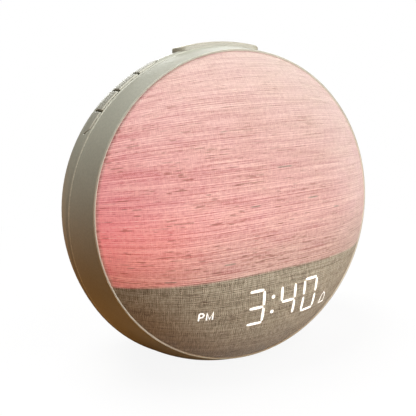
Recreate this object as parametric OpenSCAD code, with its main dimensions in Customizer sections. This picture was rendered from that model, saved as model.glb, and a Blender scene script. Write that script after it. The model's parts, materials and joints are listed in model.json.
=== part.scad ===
// Round sunrise alarm clock.  A fabric-covered light dome leans back in a flared, drum-shaped
// housing; a pill-shaped snooze key sits on top and four small buttons in one slot at the left.
// The part frame is +Z up with the face towards -Y; the origin is the middle of the footprint.

/* [Face] */
// Diameter of the fabric face
face_d = 161; // [150:0.5:170]
// Height of the fabric dome over its rim
dome_h = 27; // [18:0.5:30]
// Power of the dome's curve, higher is flatter in the middle and steeper at the edge
dome_power = 3.75; // [3:0.05:4.5]
// Angle by which the face leans back
lean = 4.6; // [0:0.1:6]
// Height of the face's centre over the housing's axis
face_rise = 4.7; // [3:0.1:5.5]
// Width of the pale ring around the fabric
trim_w = 1; // [0.8:0.1:1.5]
// Height of the line between lamp and display, from the face's centre
band_z = -27.5; // [-30:0.5:-24]

/* [Housing] */
// Largest diameter of the housing
housing_d = 178; // [176:0.5:180]
// Depth from the face's centre to the seam between the two housing halves
seam_y = 21.4; // [20.6:0.1:21.6]
// How much the front half rounds out between rim and seam, 0 is straight
flare_bend = 0.5; // [0:0.05:0.7]
// Depth at which the housing is widest
ridge_y = 24.5; // [24:0.1:25.5]
// Depth of the housing's flat back
back_y = 60; // [60:0.5:64]
// Diameter of the flat back, where the round shoulder ends
back_flat_d = 149; // [146:0.5:152]
// Distance of the flat underside from the housing's axis
base_cut = 79; // [78:0.5:80]
// Wall of the moulded shells
wall = 2.4; // [2:0.1:2.6]
// Width of the open seam line
seam_gap = 0.25; // [0.2:0.05:0.35]

/* [Feet] */
// How far the feet stand out of the flat underside
foot_out = 1; // [0.6:0.1:1.5]
// Depth of each foot, front to back
foot_depth = 8; // [6:0.5:9]

/* [Snooze key] */
// Length of the key along the housing's round
key_len = 50.4; // [44:0.2:52]
// Width of the key, front to back
key_w = 10.6; // [10:0.2:12]
// How far the key stands over the widest part of the housing
key_proud = 1.5; // [1.2:0.1:2]
// Radius of the key's arched top, flatter than the housing
key_arch_r = 107; // [100:1:120]
// Gap between the key and its hole
key_gap = 0.35; // [0.3:0.05:0.5]
// Travel of the key
key_travel = 1.2; // [0.8:0.1:1.4]

/* [Side buttons] */
// Number of buttons in the slot
button_count = 4; // [4:1:4]
// Angle of the slot's upper end, measured from the right-hand side over the top
slot_from = 113; // [112:0.1:114]
// Angle between neighbouring buttons
button_pitch = 8.65; // [8.4:0.05:8.8]
// Depth of the buttons' front edge
button_y = 23.1; // [23:0.1:24]
// Width of the buttons, front to back
button_w = 10.6; // [9:0.1:11]
// How far the buttons stand out of the housing
button_proud = 0.15; // [0.1:0.05:0.3]
// Open gap between two buttons
button_split = 1.1; // [1:0.1:1.4]
// Travel of a button
button_travel = 1; // [0.6:0.1:1]

/* [Display] */
// Height of a digit
digit_h = 19.3; // [17:0.1:20]
// Width of a digit
digit_w = 9.7; // [8:0.1:10]
// Width of one lit bar
bar_w = 1.5; // [1.3:0.1:1.8]
// Height of the digits' middle, from the face's centre
digit_z = -45.4; // [-46:0.2:-44.8]
// Distance of the colon from the face's middle, to the left
colon_x = 1.6; // [0:0.2:2]
// Distance of the inner digits from the colon
digit_x1 = 9.4; // [9:0.1:10]
// Distance of the outer digits from the colon
digit_x2 = 23.8; // [23:0.1:24]

/* [Back] */
// Diameter of the screwed back cover
cover_d = 123.4; // [120:0.2:124]
// Diameter of the loudspeaker
speaker_d = 52; // [46:1:54]
// Height of the loudspeaker over the housing's axis
speaker_z = 13; // [10:0.5:16]
// Height of the power inlet, from the housing's axis
inlet_z = -40; // [-44:0.5:-38]

/* [Hidden] */
big_fn = 96;
mid_fn = 48;
small_fn = 24;
eps = 0.05;

sage = [0.64, 0.64, 0.56];
cream = [0.84, 0.79, 0.69];
white_plastic = [0.93, 0.93, 0.91];
board_green = [0.10, 0.32, 0.20];
steel = [0.70, 0.71, 0.72];

face_r = face_d / 2;
ridge_r = housing_d / 2;
axis_h = base_cut + foot_out;
// Foremost point of the leaning dome, a little below its middle
dome_front = min([for (d = [0 : 2 : face_r])
    -dome_h * (1 - pow(d / face_r, dome_power)) * cos(lean) - d * sin(lean)]);
mid_y = (back_y + dome_front) / 2;

// Radial stack at the face's rim, from the fabric inwards and outwards
fabric_t = 0.6;
fit_gap = 0.1;
fabric_r = face_r - fit_gap;
diffuser_r = fabric_r - fabric_t - fit_gap;
diffuser_t = 2;
rim_r = face_r + trim_w;
trim_proud = 0.5;
trim_side = 0.4;
shelf_y = 3.2;
shelf_t = 2;
shelf_bore_r = face_r - 4;

// Inside face of the diffuser, which the display and the divider follow
inner_dome_r = diffuser_r - diffuser_t - 0.3;
inner_dome_h = dome_h - fabric_t - fit_gap - diffuser_t - 0.3;

// Light tray
tray_rim_t = 1;
tray_floor_y = 9;
tray_t = 1.2;
tray_floor_r = face_r - 13.7;
tray_mouth_r = face_r - 5.8;

// ---------------------------------------------------------------- frames and helpers

// Housing frame: the drum's axis runs along +Y, y = 0 is the depth of the face's centre
module housing_frame() {
    translate([0, -mid_y, axis_h]) children();
}

// Face frame: the same, raised to the face's centre and leaned back with it
module face_frame() {
    housing_frame() translate([0, 0, face_rise]) rotate([-lean, 0, 0]) children();
}

// Turns a profile of [radius, depth] points round the Y axis
module turned(profile, fn = big_fn) {
    rotate([-90, 0, 0]) rotate_extrude($fn = fn) polygon(profile);
}

// Round bar along Y from depth y0 to y1
module bar_y(r, y0, y1, fn = small_fn) {
    translate([0, y0, 0]) rotate([-90, 0, 0]) cylinder(r = r, h = y1 - y0, $fn = fn);
}

// Block between two corners
module block(from, to) {
    translate(from) cube(to - from);
}

// Extrudes a shape drawn in X and Z along Y from depth y0 to y1
module plate_y(y0, y1) {
    translate([0, y1, 0]) rotate([90, 0, 0]) linear_extrude(y1 - y0) children();
}

// Keeps what lies over a floor at the given distance below the axis
module over_floor(drop) {
    intersection() {
        children();
        translate([-ridge_r - 1, -ridge_r, -drop]) cube([housing_d + 2, 2 * housing_d, housing_d + 20]);
    }
}

// Depth of a dome of rim radius r and height h at distance d from its middle
function dome_y(d, r, h) = -h * (1 - pow(min(1, d / r), dome_power));

// Points on a dome from its middle to its rim, closer together where it curves most
function dome_points(r, h, steps) =
    [for (i = [0 : steps]) let (d = r * sin(90 * i / steps)) [d, dome_y(d, r, h)]];

function reversed(list) = [for (i = [len(list) - 1 : -1 : 0]) list[i]];

// Shell of a dome with a straight skirt behind its rim
function dome_shell(r, h, t, skirt_y, steps) = concat(
    dome_points(r, h, steps), [[r, skirt_y], [r - t, skirt_y]],
    reversed(dome_points(r - t, h - t, steps)));

// Solid under the diffuser's inside face, down to depth y1
module inner_dome(y1) {
    turned(concat(dome_points(inner_dome_r, inner_dome_h, 10), [[inner_dome_r, y1], [0, y1]]));
}

seam_r = ridge_r - 1.1;
seam_chamfer = 0.3;
rear_y = seam_y + seam_gap;

// Round shoulder of the drum from its ridge to its back, moved inwards by inset
function shoulder(inset) =
    let (shoulder_d = back_y - ridge_y, shoulder_r = ridge_r - back_flat_d / 2)
    [for (a = [0 : 6 : 90]) [
        ridge_r - shoulder_r * (1 - cos(a)) - inset * cos(a),
        ridge_y + (shoulder_d - inset) * sin(a)]];

// The drum behind the seam as one solid: a short rise to the ridge, then the shoulder
module drum_solid(inset, y0 = rear_y) {
    turned(concat([[0, y0], [seam_r - inset, y0]], shoulder(inset), [[0, back_y - inset]]));
}

// ---------------------------------------------------------------- face

module trim_ring() {
    tongue_w = 0.6;
    color(cream) face_frame() turned([
        [face_r, shelf_y - fit_gap], [face_r, -trim_proud + 0.3], [face_r + 0.3, -trim_proud],
        [rim_r - 0.4, -trim_proud], [rim_r - 0.1, -trim_proud + 0.15], [rim_r, -trim_proud + 0.4],
        [rim_r, trim_side], [face_r + tongue_w, trim_side], [face_r + tongue_w, shelf_y - fit_gap]]);
}

module fabric_cover() {
    color([0.93, 0.62, 0.58]) face_frame()
        turned(dome_shell(fabric_r, dome_h, fabric_t, shelf_y - fit_gap, 12));
}

module diffuser() {
    color([0.97, 0.95, 0.92, 0.9]) face_frame()
        turned(dome_shell(diffuser_r, dome_h - fabric_t - fit_gap, diffuser_t,
            shelf_y - tray_rim_t, 9), 72);
}

// White tray behind the diffuser: it throws the light forward and carries the boards
module light_tray() {
    color(white_plastic) face_frame() {
        turned([
            [0, tray_floor_y], [tray_floor_r, tray_floor_y], [tray_mouth_r, shelf_y - tray_rim_t],
            [diffuser_r, shelf_y - tray_rim_t], [diffuser_r, shelf_y], [shelf_bore_r - 0.4, shelf_y],
            [tray_floor_r + 0.8, tray_floor_y + tray_t], [0, tray_floor_y + tray_t]], 72);
        for (x = [-display_post_x, display_post_x])
            translate([x, 0, digit_z]) bar_y(3, display_board_y + board_t, tray_floor_y + eps);
        for (x = [-main_post_x, main_post_x], z = main_post_z)
            translate([x, 0, z]) bar_y(3.2, tray_floor_y + tray_t - eps, main_board_y);
    }
}

// Wall that keeps the lamp's light out of the display's band
module light_divider() {
    divider_t = 1.6;
    reach = sqrt(pow(tray_mouth_r - 1, 2) - pow(band_z, 2));
    foot = sqrt(pow(tray_floor_r - 0.6, 2) - pow(band_z, 2));
    steps = 12;
    front_edge = [for (i = [-steps : steps]) let (x = reach * i / steps)
        [x, dome_y(norm([x, band_z - divider_t / 2]), inner_dome_r, inner_dome_h)]];
    color(white_plastic) face_frame() translate([0, 0, band_z - divider_t / 2])
        linear_extrude(divider_t)
            polygon(concat(front_edge,
                [[reach, shelf_y - tray_rim_t], [foot, tray_floor_y], [-foot, tray_floor_y],
                [-reach, shelf_y - tray_rim_t]]));
}

board_t = 1.6;
light_board_r = tray_floor_r - 3;
light_board_y = tray_floor_y - board_t;

module light_board() {
    color(white_plastic) face_frame() intersection() {
        bar_y(light_board_r, light_board_y, tray_floor_y, big_fn);
        block([-face_r, 0, band_z + 3], [face_r, tray_floor_y, face_r]);
    }
}

// Rings of lamp chips on the light board, left out where the display's band begins
module light_leds() {
    chip = 3.6;
    chip_t = 1.1;
    lens_r = 1.4;
    rings = [[0, 1], [22, 8], [42, 16], [58, 24]];
    color([0.98, 0.88, 0.55]) face_frame()
        for (ring = rings, i = [0 : ring[1] - 1]) {
            a = 360 * (i + 0.5) / ring[1];
            at = ring[0] * [cos(a), 0, sin(a)];
            if (at[2] > band_z + 6) translate(at) {
                block([-chip / 2, light_board_y - chip_t, -chip / 2], [chip / 2, light_board_y, chip / 2]);
                bar_y(lens_r, light_board_y - chip_t - 0.4, light_board_y - chip_t + eps, 14);
            }
        }
}

// ---------------------------------------------------------------- display

display_board_y = -2.9;
display_x = 44;
display_z0 = digit_z - 12.6;
display_z1 = digit_z + 12.8;
display_post_x = 39;
digit_places = [-digit_x2, -digit_x1, digit_x1, digit_x2];
label_x = -37.2;
icon_x = 33.9;

// One lit bar, pointed at both ends, along X
module bar_shape(length, grow) {
    half = bar_w / 2 + grow;
    tip = length / 2 + grow;
    polygon([[-tip, 0], [half - tip, half], [tip - half, half], [tip, 0], [tip - half, -half],
        [half - tip, -half]]);
}

// The seven bars of one digit
module digit_shape(grow) {
    bar_gap = 0.5;
    w = digit_w - bar_w;
    h = (digit_h - bar_w) / 2;
    for (z = [-h, 0, h]) translate([0, z]) bar_shape(w - bar_gap, grow);
    for (x = [-w / 2, w / 2], z = [-h / 2, h / 2])
        translate([x, z]) rotate(90) bar_shape(h - bar_gap, grow);
}

// Every lit window of the display, drawn in X and Z
module window_shapes(grow) {
    colon_dz = 4.2;
    colon_r = 1.1;
    label = [8, 5];
    icon = [6, 8];
    for (x = digit_places) translate([x - colon_x, digit_z]) digit_shape(grow);
    for (z = [-colon_dz, colon_dz])
        translate([-colon_x, digit_z + z]) circle(r = colon_r + grow, $fn = 16);
    for (z = [0.8, 7.8]) translate([label_x, digit_z + z])
        square(label + 2 * [grow, grow], center = true);
    translate([icon_x, digit_z - 6.4]) square(icon + 2 * [grow, grow], center = true);
}

// Dark block that fills the space behind the band, its front follows the dome
module display_frame() {
    color([0.16, 0.16, 0.17]) face_frame() difference() {
        intersection() {
            inner_dome(0);
            block([-display_x, -dome_h, display_z0], [display_x, display_board_y, display_z1]);
        }
        plate_y(-dome_h, 0) window_shapes(0.12);
    }
}

// Clear light guides in the block's windows
module display_segments() {
    color([0.96, 0.97, 1]) face_frame() intersection() {
        inner_dome(0);
        plate_y(-dome_h, display_board_y) window_shapes(0);
    }
}

module display_board() {
    color(board_green) face_frame() difference() {
        block([-display_x, display_board_y, display_z0], [display_x, display_board_y + board_t, display_z1]);
        for (x = [-display_post_x, display_post_x])
            translate([x, 0, digit_z]) bar_y(1.3, display_board_y - 1, 0);
    }
}

// Pins that hold the display's board on the tray's two posts
module display_screws() {
    color(steel) face_frame() for (x = [-display_post_x, display_post_x])
        translate([x, 0, digit_z]) bar_y(1.15, display_board_y, display_board_y + board_t);
}

// ---------------------------------------------------------------- housing

// Oblique flare from the leaning rim to the upright seam, through rings that round it out, moved
// inwards by inset
module flare(inset, y0) {
    slice = 0.02;
    steps = 5;
    hull() for (k = [0 : steps]) {
        back = k / steps;
        out = back + flare_bend * back * (1 - back);
        start = y0 * (1 - back);
        translate([0, (seam_y - slice) * back, face_rise * (1 - out)]) rotate([-lean * (1 - back), 0, 0])
            bar_y(rim_r + (seam_r - rim_r) * out - inset, start, start + slice, big_fn);
    }
}

// Front half of the housing, between the pale ring and the seam
module front_ring() {
    tongue_r = seam_r - wall - fit_gap;
    tongue_t = 1.4;
    tongue_top = 30;
    color(sage) housing_frame() {
        difference() {
            over_floor(base_cut) flare(0, trim_side);
            translate([0, 0, face_rise]) rotate([-lean, 0, 0]) {
                bar_y(rim_r - 0.35, -1, shelf_y, big_fn);
                bar_y(shelf_bore_r, 0, shelf_y + shelf_t + eps, big_fn);
            }
            over_floor(base_cut - wall) flare(wall, shelf_y + shelf_t);
            bar_y(seam_r - wall, seam_y - 0.5, seam_y + 1, big_fn);
            turned([[seam_r - seam_chamfer, seam_y + eps], [seam_r + 1, seam_y - 1 - seam_chamfer],
                [seam_r + 1, seam_y + eps]]);
            foot_pockets();
        }
        // Tongue that centres the rear half, left out behind the keys
        intersection() {
            turned([[tongue_r - tongue_t, seam_y - 5], [seam_r - wall + 0.2, seam_y - 5],
                [seam_r - wall + 0.2, seam_y - 0.6], [tongue_r, seam_y - 0.4],
                [tongue_r, seam_y + 3], [tongue_r - tongue_t, seam_y + 3]]);
            block([-ridge_r, 0, wall - base_cut], [ridge_r, back_y, tongue_top]);
        }
    }
}

cover_r = cover_d / 2;
cover_t = 2.2;
ledge_r = cover_r - 7;
ledge_t = 3;
cover_y = back_y - cover_t;
screw_ring_r = cover_r - 3.4;
screw_angles = [45, 135, 225, 315];

// Stadium outline of the snooze key, drawn in X and Y, wider by grow all round
module key_outline(grow) {
    r = key_w / 2;
    for (x = [r - key_len / 2, key_len / 2 - r]) translate([x, key_y]) circle(r = r + grow, $fn = mid_fn);
    translate([0, key_y]) square([key_len - key_w, key_w + 2 * grow], center = true);
}
key_y = button_y + key_w / 2;

// Wedge of the slot round the axis, between two angles, of the given radii and depths
module arc_block(a0, a1, r0, r1, y0, y1) {
    rotate([0, -a0, 0]) rotate([-90, 0, 0]) rotate([0, 0, a0 - a1])
        rotate_extrude(angle = a1 - a0, $fn = 2 * big_fn)
            translate([r0, y0]) square([r1 - r0, y1 - y0]);
}

slot_gap = 0.35;
slot_to = slot_from + button_count * button_pitch;

// Rear half of the housing
module rear_shell() {
    color(sage) housing_frame() difference() {
        union() {
            difference() {
                over_floor(base_cut) drum_solid(0);
                over_floor(base_cut - wall) drum_solid(wall, seam_y);
                turned([[seam_r - seam_chamfer, rear_y - eps], [seam_r + 1, rear_y - eps],
                    [seam_r + 1, rear_y + seam_chamfer + 1]]);
            }
            // Ledge under the back cover
            turned([[ledge_r, cover_y - ledge_t], [cover_r + 2, cover_y - ledge_t],
                [cover_r + 2, back_y - eps], [ledge_r, back_y - eps]]);
            for (a = screw_angles) rotate([0, -a, 0])
                translate([screw_ring_r, 0, 0]) bar_y(3.4, cover_y - 8, cover_y);
        }
        bar_y(cover_r + 0.2, cover_y, back_y + 1, big_fn);
        bar_y(ledge_r, cover_y - ledge_t - 1, back_y, big_fn);
        for (a = screw_angles) rotate([0, -a, 0])
            translate([screw_ring_r, 0, 0]) bar_y(1.2, cover_y - 7, back_y);
        translate([0, 0, ridge_r - 20]) linear_extrude(30) key_outline(key_gap);
        arc_block(slot_from + slot_turn, slot_to - slot_turn, ridge_r - 8, ridge_r + 3,
            button_y - slot_gap, button_y + button_w + slot_gap);
        // A hair narrower than the slot, so that the round ends don't just touch its sides
        for (a = [slot_from + slot_turn, slot_to - slot_turn]) on_drum(a)
            translate([0, 0, ridge_r - 8]) cylinder(r = button_w / 2 + slot_gap - eps, h = 12, $fn = mid_fn);
        foot_pockets();
    }
}
// Angle that the slot's round ends take up
slot_turn = (button_w / 2) / ridge_r * 180 / PI;

// Stands children on the drum at angle a: X runs down the angles, Y stays, Z points outwards
module on_drum(a) {
    rotate([0, 90 - a, 0]) translate([0, button_y + button_w / 2, 0]) children();
}

grille_pitch = 4.4;
grille_r = speaker_d / 2 - 5;
inlet_w = 8.9;
inlet_h = 3.2;

// Rounded slot along X, drawn in X and Z
module slot_shape(length, width) {
    square([length - width, width], center = true);
    for (x = [width - length, length - width] / 2) translate([x, 0]) circle(d = width, $fn = 16);
}

// Slots of the loudspeaker grille
module grille_shapes() {
    rows = floor(grille_r / grille_pitch);
    for (i = [-rows : rows]) {
        z = i * grille_pitch;
        translate([0, speaker_z + z]) slot_shape(2 * sqrt(pow(grille_r, 2) - z * z) + 1.6, 1.8);
    }
}

module back_cover() {
    post_x = 10;
    color(sage * 0.92) housing_frame() {
        difference() {
            turned([[0, cover_y], [cover_r, cover_y], [cover_r, back_y - 0.4], [cover_r - 0.4, back_y],
                [0, back_y]]);
            plate_y(cover_y - 1, back_y + 1) {
                grille_shapes();
                translate([0, inlet_z]) slot_shape(inlet_w + 0.8, inlet_h + 0.8);
            }
            for (a = screw_angles) rotate([0, -a, 0]) translate([screw_ring_r, 0, 0]) {
                bar_y(1.7, cover_y - 1, back_y);
                bar_y(2.9, back_y - 1.2, back_y + 1);
            }
        }
        for (x = [-post_x, post_x]) translate([x, 0, inlet_z]) bar_y(1.8, inlet_board_y + board_t, cover_y + eps);
    }
}

module back_screws() {
    color(steel) housing_frame() for (a = screw_angles)
        rotate([0, -a, 0]) translate([screw_ring_r, 0, 0]) difference() {
            union() {
                bar_y(2.7, back_y - 1.2, back_y - 0.1);
                bar_y(1.15, cover_y - 6, back_y - 1);
            }
            for (turn = [0, 90]) rotate([0, turn, 0])
                block([-1.4, back_y - 0.6, -0.3], [1.4, back_y, 0.3]);
        }
}

foot_sink = 1;
foot_front_y = 10;
foot_rear_y = 46;
foot_front_w = 34;
foot_rear_w = 60;

// Pad with round ends under the housing, from its pocket down to the table
module foot_pad(length, y, grow) {
    translate([0, y, -base_cut - foot_out]) linear_extrude(foot_out + foot_sink + grow) {
        square([length - foot_depth, foot_depth + 2 * grow], center = true);
        for (x = [foot_depth - length, length - foot_depth] / 2)
            translate([x, 0]) circle(r = foot_depth / 2 + grow, $fn = small_fn);
    }
}

module foot_pockets() {
    foot_pad(foot_front_w, foot_front_y, 0.1);
    foot_pad(foot_rear_w, foot_rear_y, 0.1);
}

module foot_front() {
    color([0.22, 0.21, 0.20]) housing_frame() foot_pad(foot_front_w, foot_front_y, 0);
}

module foot_rear() {
    color([0.22, 0.21, 0.20]) housing_frame() foot_pad(foot_rear_w, foot_rear_y, 0);
}

// ---------------------------------------------------------------- snooze key

key_top_z = ridge_r + key_proud;
key_end_x = key_len / 2 - key_w / 2;
key_flange_w = 1.4;
key_bevel = 0.6;
// Height of the flange's top, close under the inside of the housing at the key's ends
key_flange_z = sqrt(pow(ridge_r - wall, 2) - pow(key_len / 2 + key_flange_w, 2)) - 0.4;
bracket_z = ridge_r - 22;

// The key's arch turns about its own axis, below the housing's
module key_arch_frame() {
    translate([0, 0, key_top_z - key_arch_r]) children();
}

// What the key's bevel leaves at one round end: a cone that stands square to the arched top
module key_end_cone(side) {
    depth = 12;
    over = 0.2;
    end_r = key_w / 2 - key_bevel + over;
    rotate([0, side * asin(key_end_x / key_arch_r), 0]) translate([0, key_y, key_arch_r - depth])
        cylinder(r1 = end_r + depth, r2 = end_r, h = depth + over, $fn = mid_fn);
}

// Arched top of the key, its long edges are bevelled
module key_arch() {
    r = key_arch_r;
    y0 = button_y;
    turned([[0, y0 - 1], [r - key_bevel - 1, y0 - 1], [r, y0 + key_bevel], [r, y0 + key_w - key_bevel],
        [r - key_bevel - 1, y0 + key_w + 1], [0, y0 + key_w + 1]]);
}

// Arched key: a little flatter than the housing, a flange inside the housing holds it in
module snooze_key() {
    skin = 2;
    color(sage) housing_frame() {
        difference() {
            intersection() {
                translate([0, 0, key_flange_z]) linear_extrude(20) key_outline(0);
                key_arch_frame() key_arch();
                union() {
                    block([-key_end_x, 0, 0], [key_end_x, back_y, ridge_r + 9]);
                    key_arch_frame() for (side = [-1, 1]) key_end_cone(side);
                }
            }
            intersection() {
                translate([0, 0, key_flange_z - 1]) linear_extrude(20) key_outline(-skin);
                key_arch_frame() bar_y(key_arch_r - skin, 0, back_y, big_fn);
            }
        }
        translate([0, 0, key_flange_z - 1.2]) linear_extrude(1.2 + eps) difference() {
            key_outline(key_flange_w);
            key_outline(-skin);
        }
        translate([0, key_y, stem_z]) cylinder(r = 2.4, h = key_top_z - skin - stem_z + eps, $fn = small_fn);
    }
}

switch_h = 4;
snooze_board_z = bracket_z + 2;
stem_z = snooze_board_z + board_t + switch_h + key_travel + 0.2;

// Shelf under the key, its wall hangs from the inside of the housing behind the key
module snooze_bracket() {
    half = 18;
    shelf_front = key_y - 6;
    wall_y = key_y + 8;
    shelf_h = 2;
    color(white_plastic) housing_frame() {
        block([-half, shelf_front, bracket_z], [half, wall_y + shelf_h, bracket_z + shelf_h]);
        intersection() {
            block([-half, wall_y, bracket_z], [half, wall_y + shelf_h, ridge_r]);
            drum_solid(wall + fit_gap);
        }
    }
}

module snooze_board() {
    color(board_green) housing_frame()
        block([-15, key_y - 5, snooze_board_z], [15, key_y + 7, snooze_board_z + board_t]);
}

module snooze_switch() {
    color([0.15, 0.15, 0.16]) housing_frame() translate([0, key_y, snooze_board_z + board_t]) {
        translate([-3, -3, 0]) cube([6, 6, switch_h - 0.8]);
        cylinder(r = 1.7, h = switch_h, $fn = small_fn);
    }
}

// ---------------------------------------------------------------- side buttons

button_r0 = ridge_r - wall - 1.4;
carrier_r = ridge_r - 16;
flex_t = 0.4;
button_switch_h = 3.6;
button_stem_r = carrier_r + flex_t + button_switch_h + button_travel + 0.2;

function button_angle(i) = slot_from + button_pitch * (i + 0.5);

// Outline of button i from above: straight sides, a round outer end at the ends of the slot
module button_outline(i, trim) {
    length = button_pitch * PI / 180 * ridge_r - button_split;
    r = button_w / 2 - trim;
    round_end = i == 0 ? 1 : i == button_count - 1 ? -1 : 0;
    straight = round_end == 0 ? length - 2 * trim : length + button_split / 2 - trim - button_w / 2;
    shift = -round_end * (length / 2 - trim - straight / 2);
    translate([shift, 0]) square([straight, 2 * r], center = true);
    if (round_end != 0) translate([shift + round_end * straight / 2, 0]) circle(r = r, $fn = mid_fn);
}

// Body of button i, its crown follows the drum and stands out of it by proud
module button_block(i, proud, trim) {
    intersection() {
        drum_solid(-proud);
        on_drum(button_angle(i)) translate([0, 0, button_r0]) linear_extrude(10) button_outline(i, trim);
    }
}

module side_button(i) {
    edge = 0.2;
    flange_w = 9.2;
    color(sage) housing_frame() {
        button_block(i, button_proud - edge, 0);
        button_block(i, button_proud, edge);
        on_drum(button_angle(i)) {
            translate([-flange_w / 2, -button_w / 2 - 0.9, button_r0 - 1.2])
                cube([flange_w, button_w + 1.8, 1.2 + eps]);
            translate([0, 0, button_stem_r]) cylinder(r = 1.6, h = button_r0 - button_stem_r, $fn = small_fn);
        }
    }
}

module button_1() { side_button(0); }
module button_2() { side_button(1); }
module button_3() { side_button(2); }
module button_4() { side_button(3); }

// Curved bridge behind the buttons, its end walls reach the inside of the housing
module button_carrier() {
    end_t = 1.4;
    over = 2.2;
    y0 = button_y - 1;
    y1 = button_y + button_w + 1;
    color(white_plastic) housing_frame() difference() {
        arc_block(slot_from - over, slot_to + over, carrier_r - 2, ridge_r - wall - 0.9, y0, y1);
        arc_block(slot_from - over + end_t, slot_to + over - end_t, carrier_r, ridge_r, y0 - 1, y1 + 1);
    }
}

module button_flex() {
    color([0.75, 0.45, 0.15]) housing_frame()
        arc_block(slot_from, slot_to, carrier_r, carrier_r + flex_t, button_y, button_y + button_w);
}

module button_switches() {
    body_h = button_switch_h - 0.8;
    color([0.15, 0.15, 0.16]) housing_frame() for (i = [0 : button_count - 1])
        rotate([0, 90 - button_angle(i), 0])
            translate([0, button_y + button_w / 2, carrier_r + flex_t]) {
                translate([-2.6, -2.6, 0]) cube([5.2, 5.2, body_h]);
                cylinder(r = 1.4, h = button_switch_h, $fn = small_fn);
            }
}

// ---------------------------------------------------------------- electronics

main_board_y = 17;
main_board_x = 42;
main_post_x = 37;
main_post_z = [-24, 22];

module main_board() {
    color(board_green) face_frame() difference() {
        block([-main_board_x, main_board_y, -29], [main_board_x, main_board_y + board_t, 27]);
        for (x = [-main_post_x, main_post_x], z = main_post_z)
            translate([x, 0, z]) bar_y(1.4, main_board_y - 1, main_board_y + 3);
    }
}

// Chips, coil, capacitors and plugs on the back of the main board
module main_chips() {
    chips = [[-18, 10, 10, 10, 1.4], [4, 14, 7, 7, 1.2], [-20, -14, 8, 5, 1.6],
        [0, -20, 12, 6, 5.5], [30, -2, 6, 14, 6], [-33, -4, 5, 12, 5.5]];
    cans = [[24, 18, 3.2, 7], [31, 14, 2.5, 6], [-8, -8, 3.2, 7]];
    color([0.12, 0.12, 0.13]) face_frame() translate([0, main_board_y + board_t, 0]) {
        for (c = chips) block([c[0] - c[2] / 2, 0, c[1] - c[3] / 2], [c[0] + c[2] / 2, c[4], c[1] + c[3] / 2]);
        for (c = cans) translate([c[0], 0, c[1]]) bar_y(c[2], 0, c[3]);
    }
}

module board_screws() {
    color(steel) face_frame() for (x = [-main_post_x, main_post_x], z = main_post_z)
        translate([x, main_board_y + board_t, z]) {
            bar_y(2.4, 0, 1.5);
            bar_y(1.3, -board_t, eps);
        }
}

cell_x = 14;
cell_z = -6;
cell_r = 8;

// Clip-in seat for the backup cell of the clock
module cell_holder() {
    color([0.14, 0.14, 0.15]) face_frame() translate([cell_x, main_board_y + board_t, cell_z])
        difference() {
            bar_y(cell_r + 1.5, 0, 3.6, mid_fn);
            bar_y(cell_r + 0.1, 0.6, 4, mid_fn);
            block([-2.5, 1.2, -cell_r - 2], [2.5, 4, -cell_r + 2]);
        }
}

module coin_cell() {
    color(steel) face_frame() translate([cell_x, main_board_y + board_t, cell_z])
        turned([[0, 0.6], [cell_r - 0.8, 0.6], [cell_r - 0.8, 0.9], [cell_r, 1.1], [cell_r, 3.6],
            [cell_r - 0.3, 3.8], [0, 3.8]], mid_fn);
}

gasket_t = 0.8;
speaker_y = cover_y - gasket_t;
speaker_r = speaker_d / 2;
magnet_r = 14;
magnet_y = speaker_y - 20;

module at_speaker() {
    housing_frame() translate([0, speaker_y, speaker_z]) children();
}

module speaker_gasket() {
    color([0.10, 0.10, 0.10]) at_speaker() turned([[speaker_r - 3.5, 0], [speaker_r, 0],
        [speaker_r, gasket_t], [speaker_r - 3.5, gasket_t]], mid_fn);
}

// Pressed basket with four windows
module speaker_basket() {
    color([0.20, 0.20, 0.21]) at_speaker() difference() {
        turned([[speaker_r, 0], [speaker_r, -1.2], [speaker_r - 4, -1.2], [magnet_r + 1, -11],
            [magnet_r - 2, -11], [magnet_r - 2, -10], [magnet_r, -10], [speaker_r - 4.6, 0]], mid_fn);
        for (a = [0, 90, 180, 270]) rotate([0, a + 45, 0])
            block([magnet_r - 3, -9, -5], [speaker_r - 5, -3, 5]);
    }
}

// Paper cone with its rolled surround and dust cap
module speaker_cone() {
    color([0.08, 0.08, 0.09]) at_speaker() turned([[0, -4.2], [4, -4.6], [7, -6], [17, -1.4],
        [19, -0.4], [20.4, -0.9], [20.9, -0.5], [19.6, 0], [18.2, 0.1], [16.6, -0.6], [7.2, -5.2],
        [4, -3.8], [0, -3.4]], mid_fn);
}

module speaker_magnet() {
    color(steel * 0.7) at_speaker() turned([[0, -20], [magnet_r - 0.6, -20], [magnet_r, -19.4],
        [magnet_r, -11.8], [magnet_r - 0.6, -11.2], [6, -11], [6, -7], [0, -7]], mid_fn);
}

inlet_board_y = 49.4;

module inlet_board() {
    color(board_green) housing_frame()
        block([-14, inlet_board_y, inlet_z - 6], [14, inlet_board_y + board_t, inlet_z + 6]);
}

// Folded metal shell of the power inlet with its tongue
module power_inlet() {
    y0 = inlet_board_y + board_t;
    shell_t = 0.35;
    color(steel) housing_frame() translate([0, 0, inlet_z]) {
        difference() {
            plate_y(y0, back_y - 0.2) slot_shape(inlet_w, inlet_h);
            plate_y(y0 + 1, back_y) slot_shape(inlet_w - 2 * shell_t, inlet_h - 2 * shell_t);
        }
        block([-3.3, y0 + 0.8, -0.35], [3.3, back_y - 1.4, 0.35]);
    }
}

// ---------------------------------------------------------------- nodes

trim_ring();
fabric_cover();
diffuser();
light_tray();
light_divider();
light_board();
light_leds();
display_frame();
display_segments();
display_board();
display_screws();
front_ring();
rear_shell();
back_cover();
back_screws();
foot_front();
foot_rear();
snooze_key();
snooze_bracket();
snooze_board();
snooze_switch();
button_1();
button_2();
button_3();
button_4();
button_carrier();
button_flex();
button_switches();
main_board();
main_chips();
board_screws();
cell_holder();
coin_cell();
speaker_gasket();
speaker_basket();
speaker_cone();
speaker_magnet();
inlet_board();
power_inlet();
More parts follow.
